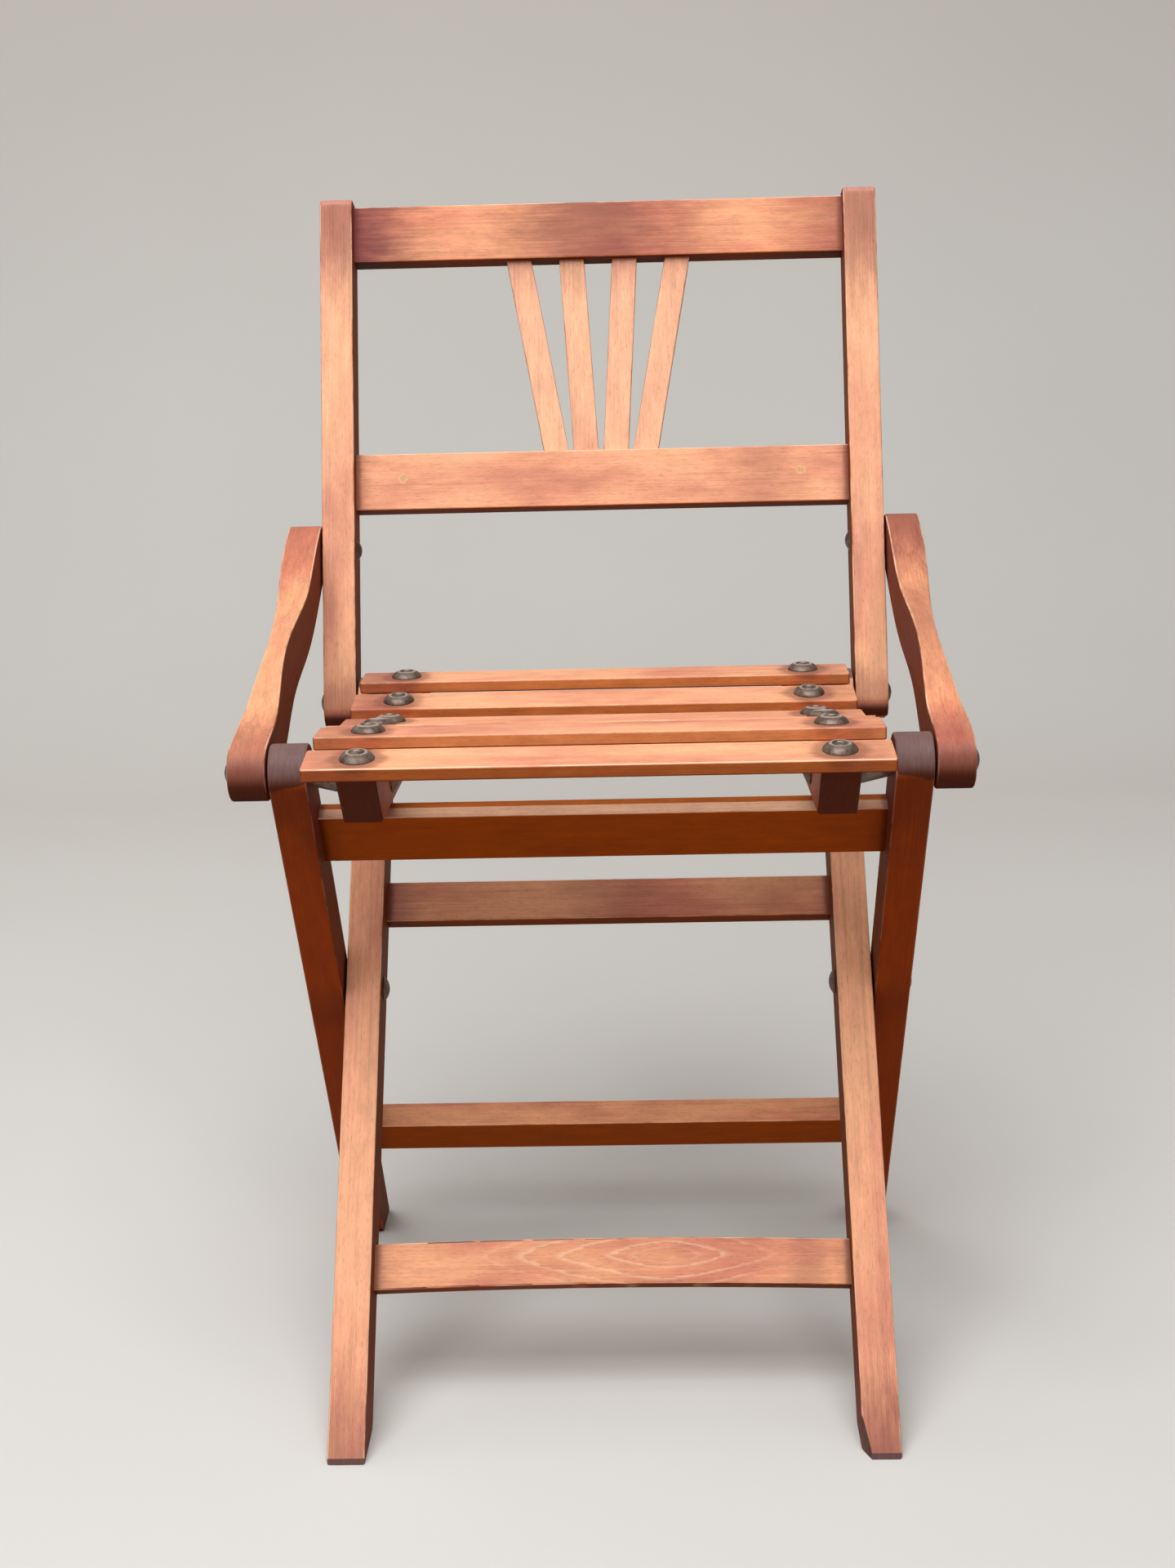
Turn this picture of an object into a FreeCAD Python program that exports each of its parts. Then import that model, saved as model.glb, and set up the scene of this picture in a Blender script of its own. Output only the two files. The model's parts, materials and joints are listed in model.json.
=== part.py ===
import FreeCAD, Part
import math
import os
from FreeCAD import Vector

# Child's folding armchair in stained beech, millimetres, front towards -Y, floor at Z = 0.

# Board stock
STOCK = 18.0             # thickness of legs, stiles, arms and bearers, across the chair
LEG_DEPTH = 27.0         # legs, front to back
STILE_DEPTH = 23.0       # back stiles, front to back
EASE = 1.2               # rounding of every long wooden edge
RAIL_EASE = 0.9          # rounding of the thinner rails, slats and splats

# Layers across the chair
INNER_WIDTH = 271.0      # over the outside of the inner legs
LAYER_GAP = 1.2          # air between boards that swing past each other
BEARER_GAP = 1.5         # air between a seat bearer and the inner leg

# Side view of the frame; leans are in degrees from upright, backwards
CROSS_Y = -21.04         # leg crossing, ahead of the middle of the chair
CROSS_Z = 183.0          # height of the crossing rivets
INNER_LEAN = 37.4        # degrees
OUTER_LEAN = -30.6       # degrees
STILE_LEAN = 17.8        # degrees
OUTER_REACH = 158.4      # crossing to the front pivot, along the outer leg
INNER_REACH = 166.5      # crossing to the cross rod, along the inner leg
ARM_RISE = 84.8          # cross rod to the arm's rear rivet, along the stile
STILE_LENGTH = 282.0     # cross rod to the top of the stile
TOE_EASE = 4.0           # bevel on the corners of the feet
WORN_WIDTH = 4.0         # worn corner of the right front foot, across the leg
WORN_HEIGHT = 7.0
WORN_DEPTH = 9.0
STILE_TOP_EASE = 5.0     # rounding of the stile tops, front to back
STILE_TOE = 3.5          # straight part of the stile's foot below the cross rod

# Rails between the legs; each setback is from the front face of the legs
FRONT_RAIL_HEIGHT = 30.0
FRONT_RAIL_THICKNESS = 10.5
FRONT_RAIL_SETBACK = 13.5
FRONT_RAIL_DROP = 46.7         # middle of the rail below the front pivot, along the leg
FOOT_RAIL_HEIGHT = 21.5
FOOT_RAIL_THICKNESS = 16.0
FOOT_RAIL_SETBACK = 9.0
FOOT_RAIL_Z = 76.0             # middle of the rail above the floor
UPPER_STRETCHER_HEIGHT = 22.2
UPPER_STRETCHER_THICKNESS = 10.0
UPPER_STRETCHER_SETBACK = 16.0
UPPER_STRETCHER_Z = 222.0
LOWER_STRETCHER_HEIGHT = 22.8
LOWER_STRETCHER_THICKNESS = 11.0
LOWER_STRETCHER_SETBACK = 12.7
LOWER_STRETCHER_Z = 68.0
LOWER_STRETCHER_ARCH = 1.9     # the lower stretcher is bowed upwards in its middle
TENON_LENGTH = 11.0
TENON_SHOULDER = 2.0           # the tenon is this much smaller than the rail all round

# Back
BACK_RAIL_HEIGHT = 31.6
BACK_RAIL_THICKNESS = 13.5
BACK_RAIL_SETBACK = 9.0
TOP_RAIL_DROP = 18.6     # middle of the top rail below the stile tops
MID_RAIL_ALONG = 122.5   # middle of the lower back rail above the cross rod
SPLAT_WIDTH = 14.0
SPLAT_THICKNESS = 6.0
SPLAT_TENON = 6.0
SPLAT_TOP_PITCH = 29.6   # centre to centre under the top rail
SPLAT_FOOT_PITCH = 16.6  # centre to centre on the lower rail
SPLATS = 4
PLUG_RADIUS = 2.6        # filled nail holes in the lower back rail
PLUG_DEPTH = 4.0
PLUG_SPREAD = 221.0
PLUG_RISE = 2.0          # above the middle of the rail

# Seat; lengths along it run from the front pivot towards the cross rod
SLATS = 6
SLAT_OVERHANG = 15.2     # slat end beyond the outside of the bearer
SLAT_WIDTH = 25.0
SLAT_THICKNESS = 6.3
SLAT_CORNER = 1.6        # rounding of the slat's corners, seen from above
SEAT_FRONT = 66.0        # front edge of the seat, ahead of the front pivot
SEAT_REAR = 10.0         # rear edge of the last slat, ahead of the cross rod
SEAT_RISE = 15.6         # mean height of the seat top above the line of the pivots, at the front pivot
SEAT_FALL = 1.05         # the seat's mean line falls to the rear by this, degrees
SEAT_WAVE = 5.1          # half the height of the seat's wave
SEAT_WAVE_LENGTH = 180.0
SEAT_CREST = 9.8         # crest of the wave, ahead of the front pivot
BEARER_KEEL = 15.0       # straight underside of the bearer below the line of the two pivots
BEARER_SETBACK = 2.0     # bearer front behind the seat's front edge
BEARER_NOSE = 22.0       # the bearer's front slopes back by this, top to bottom
HOOK_LIP = 10.0          # wood behind the cross rod
HOOK_MOUTH = 42.0        # slope of the hook's front wall, degrees from upright

# Arms; heights are from the line between the two rivets
ARM_FRONT_RADIUS = 13.5
ARM_REAR_RADIUS = 14.0
ARM_NECK = 9.0           # top, just behind the front end
ARM_HUMP = 15.0          # top, at the grip
ARM_WAIST = 7.5          # top, ahead of the rear end
ARM_BELLY = 21.0         # underside, below the waist
ARM_ARCH = 18.0          # underside, below the grip
ARM_CHIN = 20.0          # underside, behind the front end
ARM_HOLLOW_IN = 1.7      # each face is hollowed by this at the grip
ARM_HOLLOW_OUT = 5.5

# Metal
RIVET_RADIUS = 3.0
HEAD_RADIUS = 6.5
INSIDE_HEAD_RADIUS = 5.5
HEAD_HEIGHT = 2.6
HEAD_NECK = 1.0          # a head reaches this far into the hole
HEAD_PLAY = 0.5          # between a head and the board that turns under it
ROD_RADIUS = 3.5
ROD_PLAY = 0.4           # fork and hook around the cross rod
FORK_FLARE = 5.0         # each wall of the fork opens by this, degrees
ROD_CAP_RADIUS = 6.0
ROD_CAP_HEIGHT = 2.2
ROD_CAP_PLAY = 0.5       # between a rod cap and the stile
RUNNING_FIT = 0.05       # radial play of a hole that turns on a rivet
WASHER_RADIUS = 10.5     # domed washer inside the bearer
WASHER_HEIGHT = 3.8
TAIL_RADIUS = 4.2
TAIL_HEIGHT = 2.4        # clenched tail of the rivet beyond the washer
CUP_RADIUS = 8.0         # domed cup washers on the seat
CUP_HEIGHT = 3.4
CUP_RIM = 0.6
CUP_LIP_RADIUS = 3.8
CUP_DIP = 0.5            # hollow round the rivet's head, inside the lip
CUP_HEAD_RADIUS = 2.9
CUP_HEAD_HEIGHT = 1.1
SEAT_RIVET_RADIUS = 2.0
SEAT_RIVET_DEPTH = 12.0  # into the bearer
SPACER_WIDE_RADIUS = 11.5
SPACER_NARROW_RADIUS = 6.8
SPACER_PLAY = 0.3
CUT_OVER = 1.0           # a hole's cutter runs past the board by this

# Faces of each layer, measured from the middle of the chair
INNER_OUT = INNER_WIDTH / 2
INNER_IN = INNER_OUT - STOCK
OUTER_IN = INNER_OUT + LAYER_GAP
OUTER_OUT = OUTER_IN + STOCK
ARM_IN = OUTER_OUT + LAYER_GAP
ARM_OUT = ARM_IN + STOCK
BEARER_OUT = INNER_IN - BEARER_GAP
BEARER_IN = BEARER_OUT - STOCK
BEARER_MID = (BEARER_IN + BEARER_OUT) / 2
SLAT_LENGTH = 2 * (BEARER_OUT + SLAT_OVERHANG)


class Leaning:
    """A leaning board's own directions in the side view: along it, and back through it."""

    def __init__(self, y, z, lean):
        self.y = y
        self.z = z
        self.lean = lean

    def at(self, along, back=0.0):
        turn = math.radians(self.lean)
        y = self.y + along * math.sin(turn) + back * math.cos(turn)
        z = self.z + along * math.cos(turn) - back * math.sin(turn)
        return y, z

    def along_at(self, z):
        return (z - self.z) / math.cos(math.radians(self.lean))

    def place(self, shape):
        placed = shape.copy()
        placed.rotate(Vector(0, 0, 0), Vector(1, 0, 0), -self.lean)
        placed.translate(Vector(0, self.y, self.z))
        return placed


def leaning_between(start, end):
    slope = math.atan2(end[1] - start[1], end[0] - start[0])
    return Leaning(start[0], start[1], 90 - math.degrees(slope))


OUTER = Leaning(CROSS_Y, CROSS_Z, OUTER_LEAN)
INNER = Leaning(CROSS_Y, CROSS_Z, INNER_LEAN)
CROSSING = OUTER.at(0)
FRONT_PIVOT = OUTER.at(OUTER_REACH)
ROD = INNER.at(INNER_REACH)
STILE = Leaning(ROD[0], ROD[1], STILE_LEAN)
ARM_PIVOT = STILE.at(ARM_RISE)
ARM = leaning_between(FRONT_PIVOT, ARM_PIVOT)
ARM_LENGTH = math.dist(FRONT_PIVOT, ARM_PIVOT)
SEAT = leaning_between(FRONT_PIVOT, ROD)
PIVOT_SPAN = math.dist(FRONT_PIVOT, ROD)
SEAT_DEPTH = SEAT_FRONT + PIVOT_SPAN - SEAT_REAR
SLAT_PITCH = (SEAT_DEPTH - SLAT_WIDTH) / (SLATS - 1)


def side_vector(point):
    return Vector(0, point[0], point[1])


def side_plate(corners, x_from, x_to):
    """A plate with straight sides, cut to a side-view outline."""
    points = [side_vector(c) for c in corners]
    plate = Part.Face(Part.makePolygon(points + points[:1])).extrude(Vector(x_to - x_from, 0, 0))
    plate.translate(Vector(x_from, 0, 0))
    return plate


def board(edges, x_from, x_to, ease):
    """A board sawn to a side-view outline, with the edges of both faces rounded."""
    blank = Part.Face(Part.Wire(edges)).extrude(Vector(x_to - x_from, 0, 0))
    blank.translate(Vector(x_from, 0, 0))
    arrises = [e for e in blank.Edges if flat_at(e, x_from) or flat_at(e, x_to)]
    return blank.makeFillet(ease, arrises)


def flat_at(edge, x):
    return abs(edge.BoundBox.XMin - x) < 1e-4 and abs(edge.BoundBox.XMax - x) < 1e-4


def cross_cylinder(radius, x_from, x_to, point):
    return Part.makeCylinder(radius, x_to - x_from, Vector(x_from, point[0], point[1]), Vector(1, 0, 0))


def cross_hole(radius, x_from, x_to, point):
    return cross_cylinder(radius, x_from - CUT_OVER, x_to + CUT_OVER, point)


def mirrored(shape):
    return shape.mirror(Vector(0, 0, 0), Vector(1, 0, 0))


def spun(edges):
    return Part.Face(Part.Wire(Part.__sortEdges__(edges))).revolve(Vector(0, 0, 0), Vector(0, 0, 1), 360)


def section_lines(corners):
    points = [Vector(radius, 0, height) for radius, height in corners]
    return [Part.makeLine(a, b) for a, b in zip(points, points[1:])]


def stood(shape, base, axis):
    """A turned piece moved to its base, with its axis along the given direction."""
    shape.Placement = FreeCAD.Placement(base, FreeCAD.Rotation(Vector(0, 0, 1), axis))
    return shape


def cap_arc(radius, height, base=0.0):
    """Section of a low dome, part of a ball, from its rim to its top on the axis."""
    ball = (radius ** 2 + height ** 2) / (2 * height)
    half = math.asin(radius / ball) / 2
    middle = Vector(ball * math.sin(half), 0, base + height - ball + ball * math.cos(half))
    return Part.Arc(Vector(radius, 0, base), middle, Vector(0, 0, base + height)).toShape()


def domed_head(radius, height, shank, base, axis):
    """A low round head on a flat face, with a short neck where it joins the shank."""
    corners = [(0, height), (0, -HEAD_NECK), (shank, -HEAD_NECK), (shank, 0), (radius, 0)]
    return stood(spun([cap_arc(radius, height)] + section_lines(corners)), base, axis)


def side_head(radius, height, x, point, way):
    """A rivet's round head on a side face of a board, looking outwards or inwards."""
    return domed_head(radius, height, RIVET_RADIUS, Vector(x, *point), Vector(way, 0, 0))


# Rails

class Rail:
    """A cross rail between two boards, with a stub tenon into a mortise in each."""

    def __init__(self, frame, depth, inner_face, height, thickness, setback, along, arch=0.0):
        self.frame = frame
        self.arch = arch
        self.front = setback - depth / 2
        self.inner_face = inner_face
        self.height = height
        self.thickness = thickness
        self.along = along

    def bar(self, reach, shoulder):
        """The rail's section drawn in by a shoulder, with its four long edges rounded."""
        size = (2 * reach, self.thickness - 2 * shoulder, self.height - 2 * shoulder)
        corner = Vector(-reach, self.front + shoulder, self.along - self.height / 2 + shoulder)
        return self.eased(Part.makeBox(*size, corner), reach)

    def bowed(self):
        """The rail with its upper and lower edges bowed upwards in the middle."""
        edges = []
        for side in (-1, 1):
            level = self.along + side * self.height / 2
            ends = [Vector(side * x, self.front, level) for x in (-self.inner_face, self.inner_face)]
            edges.append(Part.Arc(ends[0], Vector(0, self.front, level + self.arch), ends[1]).toShape())
        low, high = edges
        edges.append(Part.makeLine(low.Vertexes[1].Point, high.Vertexes[0].Point))
        edges.append(Part.makeLine(high.Vertexes[1].Point, low.Vertexes[0].Point))
        face = Part.Face(Part.Wire(Part.__sortEdges__(edges)))
        return self.eased(face.extrude(Vector(0, self.thickness, 0)), self.inner_face)

    def eased(self, blank, reach):
        long_edges = [e for e in blank.Edges if e.BoundBox.XLength > reach]
        return self.frame.place(blank.makeFillet(RAIL_EASE, long_edges))

    def tenons(self):
        return self.bar(self.inner_face + TENON_LENGTH, TENON_SHOULDER)

    def piece(self):
        body = self.bowed() if self.arch else self.bar(self.inner_face, 0)
        return body.fuse(self.tenons()).removeSplitter()


def leg_rail(frame, inner_face, height, thickness, setback, along, arch=0.0):
    return Rail(frame, LEG_DEPTH, inner_face, height, thickness, setback, along, arch)


def back_rail_at(along):
    return Rail(STILE, STILE_DEPTH, OUTER_IN, BACK_RAIL_HEIGHT, BACK_RAIL_THICKNESS, BACK_RAIL_SETBACK, along)


FRONT_RAIL = leg_rail(
    OUTER,
    OUTER_IN,
    FRONT_RAIL_HEIGHT,
    FRONT_RAIL_THICKNESS,
    FRONT_RAIL_SETBACK,
    OUTER_REACH - FRONT_RAIL_DROP,
)
FOOT_RAIL = leg_rail(
    OUTER, OUTER_IN, FOOT_RAIL_HEIGHT, FOOT_RAIL_THICKNESS, FOOT_RAIL_SETBACK, OUTER.along_at(FOOT_RAIL_Z)
)
UPPER_STRETCHER = leg_rail(
    INNER,
    INNER_IN,
    UPPER_STRETCHER_HEIGHT,
    UPPER_STRETCHER_THICKNESS,
    UPPER_STRETCHER_SETBACK,
    INNER.along_at(UPPER_STRETCHER_Z),
)
LOWER_STRETCHER = leg_rail(
    INNER,
    INNER_IN,
    LOWER_STRETCHER_HEIGHT,
    LOWER_STRETCHER_THICKNESS,
    LOWER_STRETCHER_SETBACK,
    INNER.along_at(LOWER_STRETCHER_Z),
    LOWER_STRETCHER_ARCH,
)
TOP_RAIL = back_rail_at(STILE_LENGTH - TOP_RAIL_DROP)
MID_RAIL = back_rail_at(MID_RAIL_ALONG)


# Legs and stiles

def leg(frame, reach, x_from, x_to):
    """A leaning leg: a half round about its upper pivot, its foot cut along the floor."""
    half = LEG_DEPTH / 2
    front = side_vector(frame.at(reach, -half))
    crown = side_vector(frame.at(reach + half))
    back = side_vector(frame.at(reach, half))
    foot = [side_vector(p) for p in floor_points(frame, half)]
    edges = [Part.Arc(front, crown, back).toShape(), Part.makeLine(back, foot[0])]
    edges += [Part.makeLine(a, b) for a, b in zip(foot, foot[1:])]
    edges.append(Part.makeLine(foot[-1], front))
    return board(edges, x_from, x_to, EASE)


def floor_points(frame, half_depth):
    """The foot's cut along the floor, with its two corners bevelled."""
    turn = math.radians(frame.lean)
    back_y, back_z = frame.at(0, half_depth)
    ahead_y, ahead_z = frame.at(0, -half_depth)
    heel = back_y - back_z * math.tan(turn)
    toe = ahead_y - ahead_z * math.tan(turn)
    rise = TOE_EASE * math.cos(turn)
    shift = TOE_EASE * math.sin(turn)
    return [
        (heel + shift, rise),
        (heel - TOE_EASE / 2, 0),
        (toe + TOE_EASE / 2, 0),
        (toe + shift, rise),
    ]


def outer_leg():
    blank = leg(OUTER, OUTER_REACH, OUTER_IN, OUTER_OUT)
    for point in (FRONT_PIVOT, CROSSING):
        blank = blank.cut(cross_hole(RIVET_RADIUS, OUTER_IN, OUTER_OUT, point))
    return blank.cut(FRONT_RAIL.tenons()).cut(FOOT_RAIL.tenons())


def inner_leg():
    blank = leg(INNER, INNER_REACH, INNER_IN, INNER_OUT)
    blank = blank.cut(cross_hole(RIVET_RADIUS + RUNNING_FIT, INNER_IN, INNER_OUT, CROSSING))
    blank = blank.cut(cross_hole(ROD_RADIUS, INNER_IN, INNER_OUT, ROD))
    return blank.cut(UPPER_STRETCHER.tenons()).cut(LOWER_STRETCHER.tenons())


def worn_foot(inner):
    """An inner leg with the inner front corner of its foot worn off at a slant."""
    toe_y, toe_z = floor_points(INNER, LEG_DEPTH / 2)[-1]
    beside = Vector(INNER_IN + WORN_WIDTH, toe_y, toe_z)
    above = Vector(INNER_IN, *INNER.at(INNER.along_at(toe_z + WORN_HEIGHT), -LEG_DEPTH / 2))
    behind = Vector(INNER_IN, toe_y + WORN_DEPTH, 0)
    outward = (above - beside).cross(behind - beside)
    if outward.x > 0:
        outward = outward * -1
    middle = (beside + above + behind) * (1 / 3)
    cutter = Part.makeBox(2 * LEG_DEPTH, 2 * LEG_DEPTH, LEG_DEPTH, Vector(-LEG_DEPTH, -LEG_DEPTH, 0))
    return inner.cut(stood(cutter, middle, outward))


def stile_at(along, back):
    return side_vector(STILE.at(along, back))


def stile_arc(start, over, end):
    return Part.Arc(stile_at(*start), stile_at(*over), stile_at(*end)).toShape()


def back_stile():
    """A stile with eased top, round foot, and an open fork that drops over the cross rod."""
    half = STILE_DEPTH / 2
    top = STILE_LENGTH
    flat = half - STILE_TOP_EASE
    shoulder = top - STILE_TOP_EASE
    bulge = STILE_TOP_EASE * math.sqrt(0.5)
    edges = [
        Part.makeLine(stile_at(-STILE_TOE, half), stile_at(shoulder, half)),
        stile_arc((shoulder, half), (shoulder + bulge, flat + bulge), (top, flat)),
        Part.makeLine(stile_at(top, flat), stile_at(top, -flat)),
        stile_arc((top, -flat), (shoulder + bulge, -flat - bulge), (shoulder, -half)),
        Part.makeLine(stile_at(shoulder, -half), stile_at(-STILE_TOE, -half)),
        stile_arc((-STILE_TOE, -half), (-STILE_TOE - half, 0), (-STILE_TOE, half)),
    ]
    stile = board(edges, OUTER_IN, OUTER_OUT, EASE)
    stile = stile.cut(fork_mouth())
    stile = stile.cut(cross_hole(RIVET_RADIUS, OUTER_IN, OUTER_OUT, ARM_PIVOT))
    return stile.cut(TOP_RAIL.tenons()).cut(MID_RAIL.tenons())


def fork_mouth():
    """The fork's opening: round over the rod, its two walls flaring towards the stile's foot."""
    radius = ROD_RADIUS + ROD_PLAY
    wide = radius + STILE_DEPTH * math.tan(math.radians(FORK_FLARE))
    corners = [(0, -radius), (0, radius), (-STILE_DEPTH, wide), (-STILE_DEPTH, -wide)]
    mouth = side_plate([STILE.at(*c) for c in corners], OUTER_IN - CUT_OVER, OUTER_OUT + CUT_OVER)
    return mouth.fuse(cross_hole(radius, OUTER_IN, OUTER_OUT, ROD))


# Back rails and splats

def splat(index):
    """One leaning splat, in the plane of the back, from inside the lower rail to inside the top rail."""
    step = index - (SPLATS - 1) / 2
    low = MID_RAIL.along + BACK_RAIL_HEIGHT / 2
    high = TOP_RAIL.along - BACK_RAIL_HEIGHT / 2
    x_low = step * SPLAT_FOOT_PITCH
    slope = (step * SPLAT_TOP_PITCH - x_low) / (high - low)
    front = MID_RAIL.front + (BACK_RAIL_THICKNESS - SPLAT_THICKNESS) / 2
    ends = (low - SPLAT_TENON, high + SPLAT_TENON)
    corners = []
    for along, side in ((ends[0], -1), (ends[0], 1), (ends[1], 1), (ends[1], -1)):
        x = x_low + slope * (along - low) + side * SPLAT_WIDTH / 2
        corners.append(Vector(x, front, along))
    blank = Part.Face(Part.makePolygon(corners + corners[:1])).extrude(Vector(0, SPLAT_THICKNESS, 0))
    sides = [e for e in blank.Edges if e.BoundBox.ZLength > (high - low) / 2]
    return STILE.place(blank.makeFillet(RAIL_EASE, sides))


def slotted(rail):
    """A back rail with a slot for each splat."""
    blank = rail.piece()
    for index in range(SPLATS):
        blank = blank.cut(splat(index))
    return blank


def rail_plug():
    """A filled nail hole, flush with the front of the lower back rail."""
    base = Vector(PLUG_SPREAD / 2, MID_RAIL.front, MID_RAIL.along + PLUG_RISE)
    return STILE.place(Part.makeCylinder(PLUG_RADIUS, PLUG_DEPTH, base, Vector(0, 1, 0)))


def lower_back_rail():
    return slotted(MID_RAIL).cut(rail_plug()).cut(mirrored(rail_plug()))


# Arms

def armrest():
    """A waved arm board, round at both ends about its two pivots and hollowed at the grip."""
    front = ARM_FRONT_RADIUS
    rear = ARM_REAR_RADIUS
    length = ARM_LENGTH
    upper = [
        (0, front),
        (0.16 * length, ARM_NECK),
        (0.33 * length, ARM_HUMP),
        (0.73 * length, ARM_WAIST),
        (length, rear),
    ]
    lower = [
        (length, -rear),
        (0.66 * length, -ARM_BELLY),
        (0.44 * length, -ARM_ARCH),
        (0.24 * length, -ARM_CHIN),
        (0, -front),
    ]
    edges = [
        arm_curve(upper, 1),
        Part.Arc(arm_at(length, rear), arm_at(length + rear, 0), arm_at(length, -rear)).toShape(),
        arm_curve(lower, -1),
        Part.Arc(arm_at(0, -front), arm_at(-front, 0), arm_at(0, front)).toShape(),
    ]
    blank = Part.Face(Part.Wire(edges)).extrude(Vector(STOCK, 0, 0))
    blank.translate(Vector(ARM_IN, 0, 0))
    arm = blank.common(arm_plan())
    arm = arm.makeFillet(EASE, [e for e in arm.Edges if e.BoundBox.XLength < STOCK / 2])
    for point in (FRONT_PIVOT, ARM_PIVOT):
        arm = arm.cut(cross_hole(RIVET_RADIUS + RUNNING_FIT, ARM_IN, ARM_OUT, point))
    return arm


def arm_plan():
    """The arm seen from above: flat beside both pivots, each face hollowed at the grip."""
    start = 0.08 * ARM_LENGTH
    grip = 0.37 * ARM_LENGTH
    end = 0.88 * ARM_LENGTH
    far = ARM_LENGTH + 2 * ARM_REAR_RADIUS
    near = -2 * ARM_FRONT_RADIUS
    depth = 3 * ARM_BELLY
    edges = []
    for x, hollow in ((ARM_IN, ARM_HOLLOW_IN), (ARM_OUT, -ARM_HOLLOW_OUT)):
        line = [Vector(x, -depth, near), Vector(x, -depth, start)]
        line += [Vector(x + hollow, -depth, grip), Vector(x, -depth, end), Vector(x, -depth, far)]
        hollow_line = Part.BSplineCurve()
        along = Vector(0, 0, 1)
        hollow_line.interpolate(Points=line[1:4], InitialTangent=along, FinalTangent=along)
        edges.append(Part.makeLine(line[0], line[1]))
        edges.append(hollow_line.toShape())
        edges.append(Part.makeLine(line[3], line[4]))
    for along in (near, far):
        edges.append(Part.makeLine(Vector(ARM_IN, -depth, along), Vector(ARM_OUT, -depth, along)))
    face = Part.Face(Part.Wire(Part.__sortEdges__(edges)))
    return ARM.place(face.extrude(Vector(0, 2 * depth, 0)))


def arm_at(along, rise):
    return side_vector(ARM.at(along, -rise))


def arm_curve(points, way):
    curve = Part.BSplineCurve()
    tangent = (arm_at(1, 0) - arm_at(0, 0)) * way
    curve.interpolate(Points=[arm_at(*p) for p in points], InitialTangent=tangent, FinalTangent=tangent)
    return curve.toShape()


# Seat

def seat_wave(along):
    """Height of the seat's top above the line of its pivots, and its slope in degrees."""
    wave = 2 * math.pi / SEAT_WAVE_LENGTH
    fall = math.tan(math.radians(SEAT_FALL))
    phase = wave * (along + SEAT_CREST)
    rise = SEAT_RISE + SEAT_WAVE * math.cos(phase) - fall * along
    slope = -SEAT_WAVE * wave * math.sin(phase) - fall
    return rise, math.degrees(math.atan(slope))


def slat_frame(index):
    """The middle of a slat's top face, tilted with the seat's wave."""
    along = SLAT_WIDTH / 2 + index * SLAT_PITCH - SEAT_FRONT
    rise, tilt = seat_wave(along)
    y, z = SEAT.at(along, -rise)
    return Leaning(y, z, SEAT.lean - 90 - tilt)


def seat_slat(index):
    corner = Vector(-SLAT_LENGTH / 2, -SLAT_WIDTH / 2, -SLAT_THICKNESS)
    box = Part.makeBox(SLAT_LENGTH, SLAT_WIDTH, SLAT_THICKNESS, corner)
    box = box.makeFillet(SLAT_CORNER, [e for e in box.Edges if e.BoundBox.ZLength > SLAT_THICKNESS / 2])
    box = box.makeFillet(RAIL_EASE, [e for e in box.Edges if e.BoundBox.ZLength < SLAT_THICKNESS / 2])
    slat = slat_frame(index).place(box)
    hole = seat_rivet_hole(index)
    return slat.cut(hole).cut(mirrored(hole))


def seat_rivet_hole(index):
    depth = SLAT_THICKNESS + SEAT_RIVET_DEPTH
    hole = Part.makeCylinder(SEAT_RIVET_RADIUS, depth, Vector(BEARER_MID, 0, -depth))
    return slat_frame(index).place(hole)


def seat_rivet(index):
    """A rivet through a domed cup washer: the cup, its raised head and the shank, turned in one."""
    depth = SLAT_THICKNESS + SEAT_RIVET_DEPTH
    hollow = CUP_HEIGHT - CUP_DIP
    shoulder = Vector(
        CUP_RADIUS - 0.35 * (CUP_RADIUS - CUP_LIP_RADIUS), 0, CUP_RIM + 0.62 * (CUP_HEIGHT - CUP_RIM)
    )
    cup = Part.Arc(Vector(CUP_RADIUS, 0, CUP_RIM), shoulder, Vector(CUP_LIP_RADIUS, 0, CUP_HEIGHT))
    corners = [
        (0, hollow + CUP_HEAD_HEIGHT),
        (0, -depth),
        (SEAT_RIVET_RADIUS, -depth),
        (SEAT_RIVET_RADIUS, 0),
        (CUP_RADIUS, 0),
        (CUP_RADIUS, CUP_RIM),
    ]
    lip = section_lines([(CUP_LIP_RADIUS, CUP_HEIGHT), (CUP_HEAD_RADIUS, hollow)])
    head = cap_arc(CUP_HEAD_RADIUS, CUP_HEAD_HEIGHT, hollow)
    rivet = spun([cup.toShape(), head] + lip + section_lines(corners))
    rivet.translate(Vector(BEARER_MID, 0, 0))
    return slat_frame(index).place(rivet)


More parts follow.
